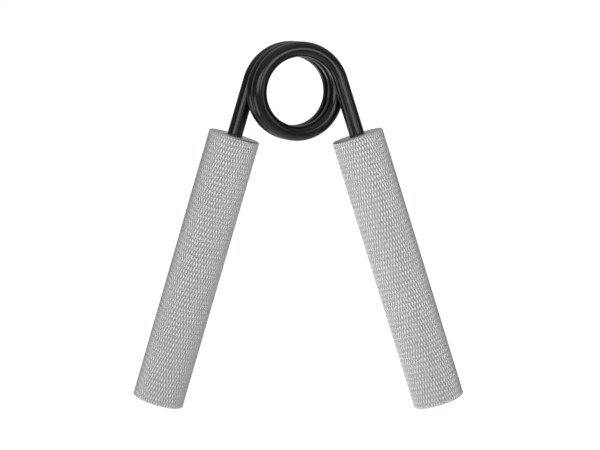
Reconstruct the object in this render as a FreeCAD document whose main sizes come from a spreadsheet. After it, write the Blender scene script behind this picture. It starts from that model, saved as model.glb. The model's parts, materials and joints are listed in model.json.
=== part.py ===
import FreeCAD, Part
import math
import os

import Sketcher
from FreeCAD import Placement, Rotation, Vector

# A hand gripper: two round bar handles on the legs of one torsion spring.
# +Z is up, +X to the right, and the user looks along +Y. The handles hang down and
# outwards from the coil. The origin is on the ground, midway between them, and the object
# is the same after half a turn about Z.

doc = FreeCAD.newDocument("hand_gripper")

# ---------------------------------------------------------------------------
# Driving dimensions: millimetres, degrees and turns
# ---------------------------------------------------------------------------
SIZES = (
    ("handle_diameter", 22.2, "bar stock, over the knurl"),
    ("handle_length", 120.0, "end to end"),
    ("handle_end_chamfer", 0.6, "broken edge at both ends"),
    ("handle_splay", 16.8, "each handle, from the vertical"),
    ("bore_depth", 80.0, "blind bore for the leg, down to the drill's shoulder"),
    ("drill_point_angle", 118.0, "cone at the bottom of the bore"),
    ("leg_fit_clearance", 0.03, "leg in its bore, on the radius"),
    ("leg_end_gap", 2.0, "from the leg's end to the drill's shoulder"),
    ("leg_end_chamfer", 0.8, "lead-in on the leg's end"),
    ("wire_diameter", 6.5, "spring wire"),
    ("coil_inner_diameter", 29.2, "eye of the coil"),
    ("coil_full_turns", 2.0, "whole turns, besides the part turn between the legs"),
    ("coil_turn_gap", 0.3, "between neighbouring turns"),
    ("coil_skew", 19.4, "coil's axis about Z, which brings the legs side by side"),
    ("free_leg_length", 24.8, "bare leg, from the coil to the handle"),
    ("wire_cut_gap", 0.4, "between the coil and each leg, at the wire's middle"),
)

sheet = doc.addObject("Spreadsheet::Sheet", "Sizes")
for row, (alias, number, meaning) in enumerate(SIZES, start=1):
    sheet.set(f"A{row}", meaning)
    sheet.set(f"B{row}", str(number))
    sheet.setAlias(f"B{row}", alias)
doc.recompute()

# ---------------------------------------------------------------------------
# Sizes that follow from them, as expressions
# ---------------------------------------------------------------------------
BORE_DIAMETER = "Sizes.wire_diameter + 2 * Sizes.leg_fit_clearance"
LEG_IN_HANDLE = "(Sizes.bore_depth - Sizes.leg_end_gap)"
COIL_RADIUS = "((Sizes.coil_inner_diameter + Sizes.wire_diameter) / 2)"
COIL_PITCH = "(Sizes.wire_diameter + Sizes.coil_turn_gap)"

# A leg lies square to Y. Seen along the coil's axis, it leaves the coil on a tangent, at
# this angle from the vertical.
LEG_ANGLE = "atan(tan(Sizes.handle_splay * 1 deg) * cos(Sizes.coil_skew * 1 deg))"
COIL_TURNS = f"(Sizes.coil_full_turns + 0.5 - {LEG_ANGLE} / 180 deg)"
CUT_ANGLE = f"(Sizes.wire_cut_gap / {COIL_RADIUS} * 1 rad)"


def value(expression):
    """An expression's present value: millimetres, degrees or a plain number."""
    found = sheet.evalExpression(expression)
    return float(getattr(found, "Value", found))


def size(alias):
    return value(f"Sizes.{alias}")


# ---------------------------------------------------------------------------
# Where the coil and the handles lie
# ---------------------------------------------------------------------------
splay = math.radians(size("handle_splay"))
skew = math.radians(size("coil_skew"))
leg_angle = math.radians(value(LEG_ANGLE))
coil_radius = value(COIL_RADIUS)
coil_length = value(COIL_PITCH) * value(COIL_TURNS)

# The coil's own directions: across it, up, and along its axis towards the user.
across = Vector(math.cos(skew), math.sin(skew), 0)
up = Vector(0, 0, 1)
along = Vector(math.sin(skew), -math.cos(skew), 0)

# The left leg leaves the coil's far end, and runs down and outwards.
left_tangent = (
    across * (-coil_radius * math.cos(leg_angle))
    + up * (coil_radius * math.sin(leg_angle))
    - along * (coil_length / 2)
)
left_leg_way = Vector(-math.sin(splay), 0, -math.cos(splay))

# The lowest point is on the rim of a handle's end face, and stands on the ground.
end_rim_radius = size("handle_diameter") / 2 - size("handle_end_chamfer")
leg_and_handle = size("free_leg_length") + size("handle_length")
end_face_height = (left_tangent + left_leg_way * leg_and_handle).z
coil_centre = Vector(0, 0, end_rim_radius * math.sin(splay) - end_face_height)

# A handle's own frame has its origin in the middle of its top face, and +Z up the leg.
left_top = coil_centre + left_tangent + left_leg_way * size("free_leg_length")
left_side = Placement(left_top, Rotation(Vector(0, 1, 0), size("handle_splay")))
right_side = Placement(Vector(0, 0, 0), Rotation(up, 180)) * left_side


# ---------------------------------------------------------------------------
# Handles and legs
# ---------------------------------------------------------------------------
def new_body(label, placement):
    body = doc.addObject("PartDesign::Body", label)
    body.Label = label
    body.Placement = placement
    return body


def disc_sketch(body, name, diameter):
    """A circle about the body's Z axis, its diameter an expression."""
    sketch = body.newObject("Sketcher::SketchObject", name)
    plane = next(f for f in body.Origin.OriginFeatures if f.Role == "XY_Plane")
    sketch.AttachmentSupport = (plane, "")
    sketch.MapMode = "FlatFace"
    circle = sketch.addGeometry(Part.Circle(Vector(0, 0, 0), up, value(diameter) / 2))
    sketch.addConstraint(Sketcher.Constraint("Coincident", circle, 3, -1, 1))
    sketch.addConstraint(Sketcher.Constraint("Diameter", circle, value(diameter)))
    sketch.renameConstraint(1, "diameter")
    sketch.setExpression("Constraints.diameter", diameter)
    return sketch


def round_edges(feature, heights):
    """Names of the feature's circular edges at the given heights, in its body's frame."""
    return [
        f"Edge{number}"
        for number, edge in enumerate(feature.Shape.Edges, start=1)
        if isinstance(edge.Curve, Part.Circle)
        and any(abs(edge.Curve.Center.z - height) < 1e-6 for height in heights)
    ]


def chamfer(body, feature, heights, width):
    """Bevel the circular edges at these heights by an alias's width."""
    doc.recompute()
    bevel = body.newObject("PartDesign::Chamfer", f"{body.Label}_chamfer")
    bevel.Base = (feature, round_edges(feature, heights))
    bevel.setExpression("Size", f"Sizes.{width}")
    return bevel


def make_handle(label, placement):
    """A turned bar, hanging from the origin, with a drilled blind bore in its top."""
    body = new_body(label, placement)
    bar = body.newObject("PartDesign::Pad", f"{label}_bar")
    bar.Profile = disc_sketch(body, f"{label}_section", "Sizes.handle_diameter")
    bar.setExpression("Length", "Sizes.handle_length")
    bar.Reversed = True
    chamfer(body, bar, (0, -size("handle_length")), "handle_end_chamfer")
    mouth = disc_sketch(body, f"{label}_bore_mouth", BORE_DIAMETER)
    doc.recompute()
    solid_volume = body.Shape.Volume
    bore = body.newObject("PartDesign::Hole", f"{label}_bore")
    bore.Profile = mouth
    doc.recompute()
    bore.ThreadType = "None"
    bore.DepthType = "Dimension"
    bore.DrillPoint = "Angled"
    bore.setExpression("Diameter", BORE_DIAMETER)
    bore.setExpression("Depth", "Sizes.bore_depth")
    bore.setExpression("DrillPointAngle", "Sizes.drill_point_angle")
    doc.recompute()
    bored = math.pi * (value(BORE_DIAMETER) / 2) ** 2 * size("bore_depth")
    if solid_volume - body.Shape.Volume < bored:
        raise RuntimeError(f"{label}: the bore isn't cut")
    return body


def make_leg(label, placement):
    """A straight length of the wire, from the coil's end into the handle's bore."""
    body = new_body(label, placement)
    section = disc_sketch(body, f"{label}_section", "Sizes.wire_diameter")
    section.setExpression(".AttachmentOffset.Base.z", f"-{LEG_IN_HANDLE}")
    wire = body.newObject("PartDesign::Pad", f"{label}_wire")
    wire.Profile = section
    wire.setExpression("Length", f"{LEG_IN_HANDLE} + Sizes.free_leg_length")
    chamfer(body, wire, (-value(LEG_IN_HANDLE),), "leg_end_chamfer")
    return body


# ---------------------------------------------------------------------------
# Coil
# ---------------------------------------------------------------------------
def make_coil(label):
    """The wound part of the wire, left-handed, a little short of the leg at each end."""
    path = doc.addObject("Part::Helix", f"{label}_path")
    path.LocalCoord = "Left-handed"
    path.setExpression("Radius", COIL_RADIUS)
    path.setExpression("Pitch", COIL_PITCH)
    path.setExpression("Height", f"{COIL_PITCH} * ({COIL_TURNS} - {CUT_ANGLE} / 180 deg)")
    doc.recompute()
    path.setExpression(".Placement.Base.z", f"-{path.Name}.Height / 2")

    # The section stands square to the path at its start, on the X axis.
    lead_angle = math.atan(value(COIL_PITCH) / (2 * math.pi * coil_radius))
    way = Vector(0, -math.cos(lead_angle), math.sin(lead_angle))
    section = doc.addObject("Part::Circle", f"{label}_section")
    section.setExpression("Radius", "Sizes.wire_diameter / 2")
    section.Placement = Placement(
        Vector(coil_radius, 0, -path.Height.Value / 2), Rotation(up, way)
    )

    coil = doc.addObject("Part::Sweep", label)
    coil.Label = label
    coil.Sections = [section]
    coil.Spine = (path, ["Edge1"])
    coil.Solid = True
    coil.Frenet = True
    start_angle = 180 - math.degrees(leg_angle) - value(CUT_ANGLE)
    coil.Placement = Placement(
        coil_centre, Rotation(across, up, along, "ZXY") * Rotation(up, start_angle)
    )
    return coil


parts = [
    make_handle("left_handle", left_side),
    make_handle("right_handle", right_side),
    make_leg("left_spring_leg", left_side),
    make_leg("right_spring_leg", right_side),
    make_coil("spring_coil"),
]
doc.recompute()

# ---------------------------------------------------------------------------
# Checks, then one file for each part
# ---------------------------------------------------------------------------
for item in doc.Objects:
    if "Invalid" in item.State or "Error" in item.State:
        raise RuntimeError(f"{item.Label} failed: {item.State}")
for part in parts:
    if part.Shape.isNull() or not part.Shape.isValid() or len(part.Shape.Solids) != 1:
        raise RuntimeError(f"{part.Label} isn't one valid solid")

wound_length = math.hypot(2 * math.pi * coil_radius, value(COIL_PITCH)) * (
    value(COIL_TURNS) - value(CUT_ANGLE) / 180
)
coil_volume = math.pi * (size("wire_diameter") / 2) ** 2 * wound_length
if abs(parts[-1].Shape.Volume / coil_volume - 1) > 0.005:
    raise RuntimeError("the coil's volume isn't its section times its length")

os.makedirs("parts", exist_ok=True)
for part in parts:
    part.Shape.exportStep(f"parts/{part.Label}.step")
    print(f"{part.Label}: {part.Shape.Volume:.0f} mm3, {part.Shape.BoundBox}")
print(f"coil's centre is {coil_centre.z:.3f} mm above the ground")
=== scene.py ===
import json
import math

import bpy
from bpy.props import FloatProperty, FloatVectorProperty, IntProperty, PointerProperty
from mathutils import Matrix, Vector


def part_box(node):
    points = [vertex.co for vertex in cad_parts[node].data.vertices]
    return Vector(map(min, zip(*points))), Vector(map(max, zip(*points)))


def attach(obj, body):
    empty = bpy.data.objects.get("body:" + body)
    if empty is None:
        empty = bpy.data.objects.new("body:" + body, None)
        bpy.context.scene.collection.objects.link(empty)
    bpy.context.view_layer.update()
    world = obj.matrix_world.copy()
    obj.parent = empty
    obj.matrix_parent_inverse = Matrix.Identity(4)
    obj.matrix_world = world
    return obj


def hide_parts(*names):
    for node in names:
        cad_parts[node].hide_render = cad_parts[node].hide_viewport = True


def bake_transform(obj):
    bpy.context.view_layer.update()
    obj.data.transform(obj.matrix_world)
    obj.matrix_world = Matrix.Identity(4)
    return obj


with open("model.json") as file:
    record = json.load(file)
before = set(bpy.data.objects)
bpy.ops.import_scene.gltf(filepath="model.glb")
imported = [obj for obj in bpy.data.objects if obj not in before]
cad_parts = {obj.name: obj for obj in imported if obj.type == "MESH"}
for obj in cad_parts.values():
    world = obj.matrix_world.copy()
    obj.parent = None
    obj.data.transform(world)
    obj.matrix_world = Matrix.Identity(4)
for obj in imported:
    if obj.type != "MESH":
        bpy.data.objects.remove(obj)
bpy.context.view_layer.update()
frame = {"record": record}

bl_info = {
    "name": "Hand Gripper",
    "version": (1, 0, 0),
    "blender": (4, 5, 0),
    "location": "View3D > Sidebar > Gripper",
    "description": "Winds the spring and knurls the handles of a torsion-spring hand gripper",
    "category": "Object",
}

# +Z is up and +X to the right, the user looks along +Y, and the ground is at Z = 0.
# All sizes are in metres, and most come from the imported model.
MM = 0.001
UP = Vector((0, 0, 1))
HALF_TURN = Matrix.Rotation(math.pi, 4, UP)


def mount(name):
    """A mount's place, its axis and its dimensions."""
    found = next(m for m in frame["record"]["mounts"] if m["name"] == name)
    return Vector(found["pos_m"]), Vector(found["axis"]), found["dims"]


def frame_of(x, y, z, origin):
    """The matrix that takes a piece from its own frame to its place."""
    return Matrix.Translation(origin) @ Matrix((x, y, z)).transposed().to_4x4()


# The left handle's own frame: its origin is in the middle of the top face, and +Z is up it.
grip_middle, grip_way, grip_dims = mount("left_grip")
handle_end, _, _ = mount("left_handle_end")
HANDLE_RADIUS = grip_dims["r_mm"] * MM
HANDLE_LENGTH = 2 * (handle_end - grip_middle).length
END_CHAMFER = (HANDLE_LENGTH - grip_dims["length_mm"] * MM) / 2
handle_top = grip_middle - grip_way * (HANDLE_LENGTH / 2)
LEFT_HANDLE_FRAME = frame_of(UP.cross(grip_way).cross(grip_way).normalized(),
                             -UP.cross(grip_way).normalized(), -grip_way, handle_top)

# The coil's own frame: +X across it, +Y up, +Z along its axis towards the user.
COIL_CENTRE = Vector(next(iter(frame["record"]["behaviour"]["joints"]))["pos_m"])
ALONG = mount("coil_eye")[1]
ACROSS = UP.cross(ALONG)
COIL_FRAME = frame_of(ACROSS, UP, ALONG, COIL_CENTRE)

# The left leg's line comes nearest to the coil's axis where the leg leaves the coil.
leg_in_plane = grip_way - ALONG * grip_way.dot(ALONG)
FREE_LEG = (handle_top - COIL_CENTRE).dot(leg_in_plane) / leg_in_plane.length_squared
left_tangent = COIL_FRAME.inverted() @ (handle_top - grip_way * FREE_LEG)
COIL_RADIUS = left_tangent.xy.length
COIL_HALF_LENGTH = -left_tangent.z
LEG_ANGLE = math.atan2(left_tangent.y, -left_tangent.x)
LEG_SLOPE = -grip_way.dot(ALONG) / leg_in_plane.length
leg_low, leg_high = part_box("left_spring_leg")
WIRE_RADIUS = (leg_high.y - leg_low.y) / 2


# ---------------------------------------------------------------------------
# Sizes and colours
# ---------------------------------------------------------------------------
def length(name, description, default):
    return FloatProperty(name=name, description=description, default=default, unit="LENGTH",
                         precision=5)


def colour(name, description, default):
    return FloatVectorProperty(name=name, description=description, default=default,
                               subtype="COLOR", min=0, max=1)


def glow(name, description, default):
    return FloatProperty(name=name, description=description, default=default, min=0)


class HandleSettings(bpy.types.PropertyGroup):
    diamonds_round: IntProperty(
        name="Diamonds round", description="Knurl diamonds in one turn of the bar",
        default=56, min=8)
    half_diamonds: IntProperty(
        name="Half diamonds", description="Half diamonds along the bar, from bevel to bevel",
        default=53, min=1)
    groove_depth: length("Groove depth", "From the knurl's crests to its grooves", 0.25 * MM)
    crest_cut: FloatProperty(
        name="Crest cut", description="Part of a full pyramid that each diamond keeps",
        default=0.62, min=0.51, max=1)
    bore_depth: length("Bore depth", "Blind bore for the spring's leg", 80 * MM)
    bore_clearance: length("Bore clearance", "Round the leg, on the radius", 0.03 * MM)
    drill_point: FloatProperty(
        name="Drill point", description="Whole angle of the cone at the bottom of the bore",
        default=math.radians(118), subtype="ANGLE")
    metal: colour("Metal", "Satin aluminium on the crests", (0.88, 0.885, 0.89))
    # Painted shade: the bottom of the knurl's grooves is coloured darker, standing in for the
    # shade that falls in them.
    groove: colour("Groove", "Duller metal at the bottom of the grooves", (0.56, 0.57, 0.565))
    handled: colour("Handled", "Tint where hands have dulled the metal", (0.93, 0.93, 0.92))
    # Painted shade: the plain ends and the bore are darkened all over, standing in for the
    # dark spring's shade and reflection on the top faces.
    painted_end_shade: colour("Faced", "Tint of the plain ends and the bore", (0.78, 0.78, 0.78))
    tool_mark: length("Tool mark", "Spacing of the turning marks on the ends", 0.16 * MM)


class SpringSettings(bpy.types.PropertyGroup):
    full_turns: IntProperty(
        name="Full turns", description="Whole turns, besides the part turn between the legs",
        default=2, min=1)
    opening: FloatProperty(
        name="Opening", description="Part of each end turn that bends out to the leg's slope",
        default=math.radians(40), subtype="ANGLE")
    leg_in_handle: length("Leg in handle", "Length of each leg inside its bore", 78 * MM)
    end_chamfer: length("End chamfer", "Lead-in on the wire's ends", 0.8 * MM)
    step: length("Step", "Length of one face along the wire", 0.25 * MM)
    sides: IntProperty(
        name="Sides", description="Faces round the wire", default=40, min=8)
    coating: colour("Coating", "Black satin coating", (0.0025, 0.0027, 0.003))
    worn: colour("Worn coating", "Coating where it is thinner", (0.007, 0.0072, 0.008))


class StageSettings(bpy.types.PropertyGroup):
    camera_place: FloatVectorProperty(
        name="Camera place", description="Where the camera stands",
        default=(1.5 * MM, -841.7 * MM, 177.7 * MM), subtype="XYZ", unit="LENGTH")
    camera_pitch: FloatProperty(
        name="Camera pitch", description="How far the camera looks down",
        default=math.radians(6.66), subtype="ANGLE")
    camera_roll: FloatProperty(
        name="Camera roll", description="Clockwise turn of the camera about its line of sight",
        default=math.radians(0.47), subtype="ANGLE")
    focal_length: FloatProperty(
        name="Focal length", description="Lens, in millimetres on a 36 mm sensor",
        default=118.8, min=10)
    room_left: glow("Room, left", "Brightness of the room on the left", 0.15)
    room_right: glow("Room, right", "Brightness of the room on the right", 0.1)
    room_front: glow("Room, front", "Brightness of the room behind the camera", 0.25)
    room_back: glow("Room, back", "Brightness of the room behind the object", 0.4)
    room_top: glow("Room, top", "Brightness of the ceiling", 0.55)
    room_bottom: glow("Room, bottom", "Brightness reflected from below", 0.85)
    window: glow("Windows", "Brightness of both soft lights at the front", 2.2)
    left_box: glow("Left softbox", "Brightness of the soft light on the left", 1.6)
    left_rim: glow("Left rim", "Brightness of the soft light at the back on the left", 1.5)
    right_box: glow("Right softbox", "Brightness of the soft light on the right", 0.95)
    floor: colour("Floor", "Plain pale floor", (0.9, 0.9, 0.9))


# ---------------------------------------------------------------------------
# Nodes
# ---------------------------------------------------------------------------
class Number:
    """A node's output in a Python expression. Each operator adds a Math node."""

    def __init__(self, nodes, socket):
        self.nodes = nodes
        self.socket = socket

    def output(self, name):
        """Another output of the same node."""
        return Number(self.nodes, self.socket.node.outputs[name])

    def math(self, operation, *values):
        return self.nodes.add("ShaderNodeMath", {"operation": operation},
                              dict(enumerate(values)))

    def __add__(self, other):
        return self.math("ADD", self, other)

    def __sub__(self, other):
        return self.math("SUBTRACT", self, other)

    def __mul__(self, other):
        return self.math("MULTIPLY", self, other)

    def __truediv__(self, other):
        return self.math("DIVIDE", self, other)

    def __rsub__(self, other):
        return self.math("SUBTRACT", other, self)

    def __rtruediv__(self, other):
        return self.math("DIVIDE", other, self)

    def __neg__(self):
        return self.math("MULTIPLY", self, -1.0)

    __radd__ = __add__
    __rmul__ = __mul__

    def sin(self):
        return self.math("SINE", self)

    def cos(self):
        return self.math("COSINE", self)

    def root(self):
        return self.math("SQRT", self)

    def size(self):
        return self.math("ABSOLUTE", self)

    def sign(self):
        return self.math("SIGN", self)

    def least(self, other):
        return self.math("MINIMUM", self, other)

    def most(self, other):
        return self.math("MAXIMUM", self, other)

    def ping_pong(self, top):
        return self.math("PINGPONG", self, top)

    def ramp(self, start, end, low=0.0, high=1.0):
        """From low to high while this goes from start to end, and level outside them."""
        return self.nodes.add("ShaderNodeMapRange", {"clamp": True}, {
            "Value": self, "From Min": start, "From Max": end,
            "To Min": low, "To Max": high})


class Nodes:
    """Adds nodes to one tree."""

    def __init__(self, tree):
        self.tree = tree

    def add(self, kind, settings=None, inputs=None, output=0):
        """A node with its settings, then its inputs: numbers, or outputs of other nodes."""
        node = self.tree.nodes.new(kind)
        for name, setting in (settings or {}).items():
            setattr(node, name, setting)
        for name, given in (inputs or {}).items():
            if isinstance(given, Number):
                self.tree.links.new(given.socket, node.inputs[name])
            else:
                node.inputs[name].default_value = given
        return Number(self, node.outputs[output] if node.outputs else None)

    def mix(self, factor, first, second, blend="MIX"):
        """A colour between two others."""
        return self.add("ShaderNodeMix", {"data_type": "RGBA", "blend_type": blend},
                        {0: factor, 6: first, 7: second}, output=2)

    def noise(self, place, scale, detail=3.0, roughness=0.55):
        """Noise whose scale is in features per metre."""
        return self.add("ShaderNodeTexNoise", {}, {
            "Vector": place, "Scale": scale, "Detail": detail, "Roughness": roughness})

    def vector(self, x, y, z):
        return self.add("ShaderNodeCombineXYZ", {}, {"X": x, "Y": y, "Z": z})


class Rule(Nodes):
    """A Geometry Nodes tree whose named inputs are an object's sizes."""

    def __init__(self, name, **inputs):
        tree = bpy.data.node_groups.new(name, "GeometryNodeTree")
        for label, socket in inputs.items():
            tree.interface.new_socket(label, in_out="INPUT", socket_type=f"NodeSocket{socket}")
        tree.interface.new_socket("Geometry", in_out="OUTPUT",
                                  socket_type="NodeSocketGeometry")
        super().__init__(tree)
        self.given = self.add("NodeGroupInput")

    def __getitem__(self, name):
        return self.given.output(name)

    def store(self, geometry, name, given, kind="FLOAT"):
        return self.add("GeometryNodeStoreNamedAttribute",
                        {"data_type": kind, "domain": "POINT"},
                        {"Geometry": geometry, "Name": name, "Value": given})

    def finish(self, geometry):
        """Ends the tree."""
        real = self.add("GeometryNodeRealizeInstances", {}, {"Geometry": geometry})
        dressed = self.add("GeometryNodeSetMaterial", {},
                           {"Geometry": real, "Material": self["Material"]})
        self.add("NodeGroupOutput", {}, {"Geometry": dressed})

    def make(self, name, place, **sizes):
        """The tree's result as an object with a plain mesh, put in its place."""
        piece = bpy.data.objects.new(name, bpy.data.meshes.new(name))
        bpy.context.scene.collection.objects.link(piece)
        modifier = piece.modifiers.new(name, "NODES")
        modifier.node_group = self.tree
        for item in self.tree.interface.items_tree:
            if item.in_out == "INPUT":
                modifier[item.identifier] = sizes[item.name]
        depsgraph = bpy.context.evaluated_depsgraph_get()
        made = bpy.data.meshes.new_from_object(
            piece.evaluated_get(depsgraph), preserve_all_data_layers=True,
            depsgraph=depsgraph)
        piece.modifiers.remove(modifier)
        empty, piece.data = piece.data, made
        bpy.data.meshes.remove(empty)
        made.name = name
        if not made.polygons:
            raise RuntimeError(f"{name} has no faces")
        made.transform(place)
        return piece


# ---------------------------------------------------------------------------
# Finishes
# ---------------------------------------------------------------------------
def new_material(name):
    """A material, its nodes and its Principled shader."""
    material = bpy.data.materials.new(name)
    material.use_nodes = True
    return material, Nodes(material.node_tree), material.node_tree.nodes["Principled BSDF"]


def connect(shader, **inputs):
    """Links outputs to a shader's inputs, underscores standing for spaces."""
    for name, given in inputs.items():
        socket = shader.inputs[name.replace("_", " ")]
        if isinstance(given, Number):
            given.nodes.tree.links.new(given.socket, socket)
        else:
            socket.default_value = given


def satin_aluminium(settings):
    """Turned and knurled bar: bright crests, grooves darkened with painted shade, plain ends
    and bore darkened with painted shade, tool marks on its ends.
    """
    material, nodes, shader = new_material("satin_aluminium")
    place = nodes.add("ShaderNodeTexCoord", output="Object")
    relief = nodes.add("ShaderNodeAttribute", {"attribute_name": "relief"}, output="Fac")
    plain = nodes.add("ShaderNodeAttribute", {"attribute_name": "plain"}, output="Fac")
    radius = nodes.add("ShaderNodeAttribute", {"attribute_name": "bar_radius"}, output="Fac")
    handling = nodes.noise(place, scale=55.0, detail=4.0).ramp(0.3, 0.7)
    grain = nodes.noise(place, scale=5200.0, detail=2.0, roughness=0.6)
    dust = nodes.noise(place, scale=900.0).ramp(0.42, 0.66)
    crest = relief.ramp(0.15, 0.8)
    # Painted shade: the colour goes from the crests' metal to the darker groove colour down
    # into the grooves; dust darkens it a little more, at random.
    metal = nodes.mix(crest * (1 - dust * 0.12), (*settings.groove, 1), (*settings.metal, 1))
    metal = nodes.mix(handling * 0.25, metal, (*settings.handled, 1), "MULTIPLY")
    # Painted shade: the plain ends and the bore are multiplied by the darker end tint.
    metal = nodes.mix(plain, metal, (*settings.painted_end_shade, 1), "MULTIPLY")
    turned = (radius * (2 * math.pi / settings.tool_mark) + grain * 3.0).sin() * plain
    bump = nodes.add("ShaderNodeBump", {}, {
        "Strength": 0.6, "Distance": 0.004 * MM,
        "Height": turned * 0.6 + grain * (1.6 - crest * 0.8)})
    connect(shader, Base_Color=metal, Metallic=1.0, Normal=bump,
            Roughness=0.5 - crest * 0.1 + handling * 0.06 + grain * 0.06)
    return material


def black_spring_steel(settings):
    """Thin black satin coating that still shows the drawn wire's lines."""
    material, nodes, shader = new_material("black_spring_steel")
    place = nodes.add("ShaderNodeTexCoord", output="Object")
    on_wire = nodes.add("ShaderNodeAttribute", {"attribute_name": "on_wire"},
                        output="Vector")
    along_wire = 0.03
    stretched = nodes.add("ShaderNodeMapping", {"vector_type": "POINT"},
                          {"Vector": on_wire, "Scale": (along_wire, 1.0, 1.0)})
    drawn = nodes.noise(stretched, scale=2600.0)
    clouds = nodes.noise(place, scale=120.0, detail=4.0).ramp(0.3, 0.7)
    pores = nodes.noise(place, scale=6500.0, detail=2.0)
    scuffs = nodes.noise(stretched, scale=900.0, detail=4.0, roughness=0.7).ramp(0.62, 0.74)
    coat = nodes.mix(clouds * 0.6 + scuffs * 0.4, (*settings.coating, 1),
                     (*settings.worn, 1))
    bump = nodes.add("ShaderNodeBump", {}, {
        "Strength": 0.35, "Distance": 0.006 * MM, "Height": drawn * 1.2 + pores * 0.8})
    connect(shader, Base_Color=coat, Normal=bump, Specular_IOR_Level=0.55,
            Roughness=0.12 + clouds * 0.04 + drawn * 0.03 + scuffs * 0.06)
    return material


def pale_floor(paint):
    """Plain matt floor that glows enough to be as pale as the room."""
    material, _, shader = new_material("pale_floor")
    connect(shader, Base_Color=(*paint, 1), Roughness=0.9, Specular_IOR_Level=0.1,
            Emission_Color=(1, 1, 1, 1), Emission_Strength=0.75)
    return material


# ---------------------------------------------------------------------------
# Handles
# ---------------------------------------------------------------------------
def handle_rule():
    """A closed sheet of cells, turned round the bar from the middle of its lower end,
    out and up the knurled side, over the top face and down the blind bore.

    Each diamond is four cells wide and four long. Its corners are on the grooves, and the
    triangles' edges follow them, because the shorter diagonal of a cell does.
    """
    rule = Rule("knurled_bar", Radius="Float", Length="Float", Chamfer="Float",
                Columns="Int", Rows="Int", Depth="Float", Crest_Cut="Float",
                Bore_Radius="Float", Bore_Depth="Float", Bore_Tip="Float",
                Material="Material")
    radius, chamfer, bore = rule["Radius"], rule["Chamfer"], rule["Bore_Radius"]
    rows = rule["Rows"]
    # Two plain rows come before the knurled side, and four after it.
    all_rows = rows + 6
    grid = rule.add("GeometryNodeMeshGrid", {}, {
        "Size X": rule["Columns"], "Size Y": all_rows,
        "Vertices X": rule["Columns"] + 1, "Vertices Y": all_rows + 1})
    place = rule.add("ShaderNodeSeparateXYZ", {},
                     {"Vector": rule.add("GeometryNodeInputPosition")})
    column = place + rule["Columns"] / 2
    row = place.output("Y") + all_rows / 2

    # How far along each run of the outline a row has come, from 0 to 1.
    lower_face, lower_bevel = row.ramp(0.0, 1.0), row.ramp(1.0, 2.0)
    side = row.ramp(2.0, rows + 2)
    upper_bevel, upper_face = row.ramp(rows + 2, rows + 3), row.ramp(rows + 3, rows + 4)
    bore_wall, bore_tip = row.ramp(rows + 4, rows + 5), row.ramp(rows + 5, rows + 6)

    # A crest is in the middle of each diamond, and every groove is two cells from one.
    across = column.ping_pong(2.0) + (row - 2).ping_pong(2.0)
    to_crest = across.least(4 - across)
    height = ((2 - to_crest) / (2 * rule["Crest_Cut"])).least(1.0)
    knurled = lower_bevel - upper_bevel
    relief = 1 - knurled * (1 - height)

    reach = ((radius - chamfer) * (lower_face - upper_face) + chamfer * knurled
             + bore * (upper_face - bore_tip) - rule["Depth"] * (1 - relief))
    rise = (chamfer * (lower_bevel + upper_bevel) - rule["Length"]
            + (rule["Length"] - 2 * chamfer) * side
            - rule["Bore_Depth"] * bore_wall - rule["Bore_Tip"] * bore_tip)
    turn = column * (2 * math.pi) / rule["Columns"]
    turned = rule.add("GeometryNodeSetPosition", {}, {
        "Geometry": rule.store(rule.store(rule.store(
            grid, "relief", relief), "plain", 1 - knurled), "bar_radius", reach),
        "Position": rule.vector(reach * turn.cos(), reach * turn.sin(), rise)})
    closed = rule.add("GeometryNodeMergeByDistance", {},
                      {"Geometry": turned, "Distance": 0.001 * MM})
    rule.finish(rule.add("GeometryNodeTriangulate", {"quad_method": "SHORTEST_DIAGONAL"},
                         {"Mesh": closed}))
    return rule


class GRIPPER_OT_knurl_handles(bpy.types.Operator):
    """Turn, drill and knurl both bar handles"""

    bl_idname = "gripper.knurl_handles"
    bl_label = "Knurl Handles"

    def execute(self, context):
        settings = context.scene.gripper_handles
        rule = handle_rule()
        metal = satin_aluminium(settings)
        bore = WIRE_RADIUS + settings.bore_clearance
        for side, turn in (("left", Matrix.Identity(4)), ("right", HALF_TURN)):
            handle = rule.make(
                f"{side}_knurled_handle", turn @ LEFT_HANDLE_FRAME,
                Radius=HANDLE_RADIUS, Length=HANDLE_LENGTH, Chamfer=END_CHAMFER,
                Columns=4 * settings.diamonds_round, Rows=2 * settings.half_diamonds,
                Depth=settings.groove_depth, Crest_Cut=settings.crest_cut,
                Bore_Radius=bore, Bore_Depth=settings.bore_depth,
                Bore_Tip=bore / math.tan(settings.drill_point / 2), Material=metal)
            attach(handle, f"{side}_side")
            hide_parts(f"{side}_handle")
        return {"FINISHED"}


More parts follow.
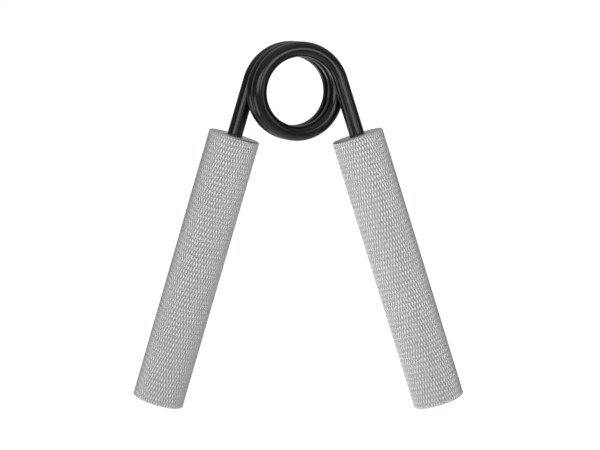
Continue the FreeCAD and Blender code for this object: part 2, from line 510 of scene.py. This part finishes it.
# ---------------------------------------------------------------------------
# Spring
# ---------------------------------------------------------------------------
def wire_rule():
    """A length of the spring's wire, bent from a straight rod.

    The run is counted along the wire from its middle, at the top of the coil, and seen
    along the coil's axis. Past the coil's half angle the wire is straight. The turns lie
    close together, and each end turn bends out to the slope of its leg.
    """
    rule = Rule("wound_wire", Wire_Radius="Float", Coil_Radius="Float", Half_Angle="Float",
                Start="Float", End="Float", Turn_Slope="Float", Leg_Slope="Float",
                Opening="Float", Wire_End="Float", Chamfer="Float", Sides="Int",
                Steps="Int", Material="Material")
    coil, half_angle, opening = rule["Coil_Radius"], rule["Half_Angle"], rule["Opening"]
    turn_slope, wire_radius = rule["Turn_Slope"], rule["Wire_Radius"]
    rod = rule.add("GeometryNodeMeshCylinder", {"fill_type": "NGON"}, {
        "Vertices": rule["Sides"], "Side Segments": rule["Steps"],
        "Radius": wire_radius, "Depth": 1.0})
    place = rule.add("ShaderNodeSeparateXYZ", {},
                     {"Vector": rule.add("GeometryNodeInputPosition")})
    run = rule["Start"] + (rule["End"] - rule["Start"]) * (place.output("Z") + 0.5)

    angle = (run / coil).most(-half_angle).least(half_angle)
    straight = run - angle * coil
    sine, cosine = angle.sin(), angle.cos()

    # Along the axis: the slope, and the advance that it adds up to.
    opened = (run.size() - (half_angle * coil - opening)) / opening
    part = opened.ramp(0.0, 1.0)
    extra_slope = rule["Leg_Slope"] - turn_slope
    slope = turn_slope + extra_slope * part * part * (3 - 2 * part)
    gained = part * part * part * (1 - part / 2) + (opened - 1).most(0.0)
    advance = run.sign() * (turn_slope * run.size() + extra_slope * opening * gained)

    # Outwards from the coil's axis, and square to that and to the wire.
    taper = (rule["Wire_End"] - run.size()).ramp(
        0.0, rule["Chamfer"], 1 - rule["Chamfer"] / wire_radius, 1.0)
    out, side = place * taper, place.output("Y") * taper
    side = side / (1 + slope * slope).root()
    bent = rule.add("GeometryNodeSetPosition", {}, {
        "Geometry": rule.store(
            rod, "on_wire", rule.vector(run, place, place.output("Y")), "FLOAT_VECTOR"),
        "Position": rule.vector(
            (coil + out) * sine + (straight - side * slope) * cosine,
            (coil + out) * cosine - (straight - side * slope) * sine,
            advance + side)})
    smooth = rule.add("GeometryNodeSetShadeSmooth", {"domain": "FACE"}, {
        "Geometry": bent, "Selection": rod.output("Side"), "Shade Smooth": True})
    ends = rule.add("FunctionNodeBooleanMath", {"operation": "OR"}, {
        0: rod.output("Top"), 1: rod.output("Bottom")})
    rule.finish(rule.add("GeometryNodeSetShadeSmooth", {"domain": "EDGE"}, {
        "Geometry": smooth, "Selection": ends, "Shade Smooth": False}))
    return rule


class GRIPPER_OT_wind_spring(bpy.types.Operator):
    """Wind the spring: its close turns and its two ends"""

    bl_idname = "gripper.wind_spring"
    bl_label = "Wind Spring"

    def execute(self, context):
        settings = context.scene.gripper_spring
        rule = wire_rule()
        steel = black_spring_steel(settings)
        end_turn = math.pi - 2 * LEG_ANGLE
        half_angle = settings.full_turns * math.pi + end_turn / 2
        half_run = half_angle * COIL_RADIUS
        opening = settings.opening * COIL_RADIUS
        turn_slope = (COIL_HALF_LENGTH - LEG_SLOPE * opening / 2) / (half_run - opening / 2)
        leg_run = (FREE_LEG + settings.leg_in_handle) * leg_in_plane.length
        wire_end, end_run = half_run + leg_run, half_run - end_turn * COIL_RADIUS

        def wind(name, start, end):
            return rule.make(
                name, COIL_FRAME, Wire_Radius=WIRE_RADIUS, Coil_Radius=COIL_RADIUS,
                Half_Angle=half_angle, Start=start, End=end, Turn_Slope=turn_slope,
                Leg_Slope=LEG_SLOPE, Opening=opening, Wire_End=wire_end,
                Chamfer=settings.end_chamfer, Sides=settings.sides,
                Steps=round((end - start) / settings.step), Material=steel)

        # Where the end turns leave the legs, and the coil's other side. The points are worked
        # out below, but nothing bends the end turns between them.
        bend = ACROSS * ((COIL_RADIUS - WIRE_RADIUS) * math.cos(LEG_ANGLE))
        turns = wind("close_turns", -end_run, end_run)
        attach(turns, "coil")
        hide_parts("spring_coil")
        for side, way, start, end in (("left", 1, -wire_end, -end_run),
                                      ("right", -1, end_run, wire_end)):
            wire = wind(f"{side}_wire_end", start, end)
            COIL_CENTRE - bend * way
            COIL_CENTRE + bend * way
            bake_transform(wire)
            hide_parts(f"{side}_spring_leg")
        return {"FINISHED"}


# ---------------------------------------------------------------------------
# Stage
# ---------------------------------------------------------------------------
def soft_light(name, radiance, tint, place, target, size):
    """A rectangular soft light at a place, facing a target."""
    lamp = bpy.data.lights.new(name, "AREA")
    lamp.shape = "RECTANGLE"
    lamp.size, lamp.size_y = size
    lamp.energy = radiance * math.pi * lamp.size * lamp.size_y
    lamp.color = tint
    light = bpy.data.objects.new(name, lamp)
    light.location = place
    way = Vector(target) - Vector(place)
    light.rotation_euler = way.to_track_quat("-Z", "Y").to_euler()
    light.visible_camera = False
    bpy.context.scene.collection.objects.link(light)


class GRIPPER_OT_set_stage(bpy.types.Operator):
    """Set the floor, the soft light and the camera"""

    bl_idname = "gripper.set_stage"
    bl_label = "Set Stage"

    def execute(self, context):
        scene = context.scene
        settings = scene.gripper_stage
        scene.view_settings.view_transform = "Standard"

        bpy.ops.mesh.primitive_circle_add(vertices=96, radius=40, fill_type="NGON")
        floor = context.object
        floor.name = "floor"
        floor.data.materials.append(pale_floor(settings.floor))
        floor.visible_glossy = floor.visible_diffuse = floor.visible_shadow = False

        world = bpy.data.worlds.new("room")
        world.use_nodes = True
        nodes = Nodes(world.node_tree)
        backdrop = nodes.add("ShaderNodeLightPath", output="Is Camera Ray")
        way = nodes.add("ShaderNodeSeparateXYZ", {}, {
            "Vector": nodes.add("ShaderNodeTexCoord", output="Generated")})
        # The object sees a room whose sides blend into each other, and the camera sees white.
        blend, room = 0.2, 0.0
        for axis, low, high in (("X", settings.room_left, settings.room_right),
                                ("Y", settings.room_front, settings.room_back),
                                ("Z", settings.room_bottom, settings.room_top)):
            part = way.output(axis)
            room = part * part * part.ramp(-blend, blend, low, high) + room
        connect(world.node_tree.nodes["Background"], Color=(1, 1, 1, 1),
                Strength=backdrop + (1 - backdrop) * room)
        scene.world = world

        middle = COIL_CENTRE * 0.6  # of the whole object
        for name, x in (("left_window", -0.49), ("right_window", 0.49)):
            soft_light(name, settings.window, (0.95, 0.975, 1.0),
                       place=(x, -1.0, 0.25), target=(x, 0, middle.z), size=(0.76, 0.5))
        soft_light("left_softbox", settings.left_box, (1.0, 0.97, 0.93),
                   place=(-0.8, -0.3, -0.3), target=middle, size=(0.5, 0.5))
        soft_light("left_rim", settings.left_rim, (1.0, 0.98, 0.95),
                   place=(-0.65, 0.65, -0.38), target=middle, size=(0.6, 0.4))
        soft_light("right_softbox", settings.right_box, (1, 1, 1),
                   place=(0.9, -0.45, 0.12), target=middle, size=(0.4, 0.6))

        camera = bpy.data.objects.new("camera", bpy.data.cameras.new("camera"))
        camera.data.sensor_width = 36
        camera.data.lens = settings.focal_length
        camera.matrix_world = (
            Matrix.Translation(settings.camera_place)
            @ Matrix.Rotation(math.pi / 2 - settings.camera_pitch, 4, "X")
            @ Matrix.Rotation(-settings.camera_roll, 4, "Z"))
        scene.collection.objects.link(camera)
        scene.camera = camera
        return {"FINISHED"}


# ---------------------------------------------------------------------------
# Sidebar
# ---------------------------------------------------------------------------
class GRIPPER_PT_sidebar(bpy.types.Panel):
    """The gripper's pieces, with their sizes and colours"""

    bl_idname = "GRIPPER_PT_sidebar"
    bl_label = "Hand Gripper"
    bl_space_type = "VIEW_3D"
    bl_region_type = "UI"
    bl_category = "Gripper"

    def draw(self, context):
        for operator, settings in (
            (GRIPPER_OT_knurl_handles, context.scene.gripper_handles),
            (GRIPPER_OT_wind_spring, context.scene.gripper_spring),
            (GRIPPER_OT_set_stage, context.scene.gripper_stage),
        ):
            box = self.layout.box()
            for name in type(settings).__annotations__:
                box.prop(settings, name)
            box.operator(operator.bl_idname)


CLASSES = (
    HandleSettings,
    SpringSettings,
    StageSettings,
    GRIPPER_OT_knurl_handles,
    GRIPPER_OT_wind_spring,
    GRIPPER_OT_set_stage,
    GRIPPER_PT_sidebar,
)


def register():
    for cls in CLASSES:
        bpy.utils.register_class(cls)
    bpy.types.Scene.gripper_handles = PointerProperty(type=HandleSettings)
    bpy.types.Scene.gripper_spring = PointerProperty(type=SpringSettings)
    bpy.types.Scene.gripper_stage = PointerProperty(type=StageSettings)


def unregister():
    del bpy.types.Scene.gripper_stage
    del bpy.types.Scene.gripper_spring
    del bpy.types.Scene.gripper_handles
    for cls in reversed(CLASSES):
        bpy.utils.unregister_class(cls)


def main():
    register()
    bpy.ops.gripper.knurl_handles()
    bpy.ops.gripper.wind_spring()
    bpy.ops.gripper.set_stage()


if __name__ == "__main__":
    main()
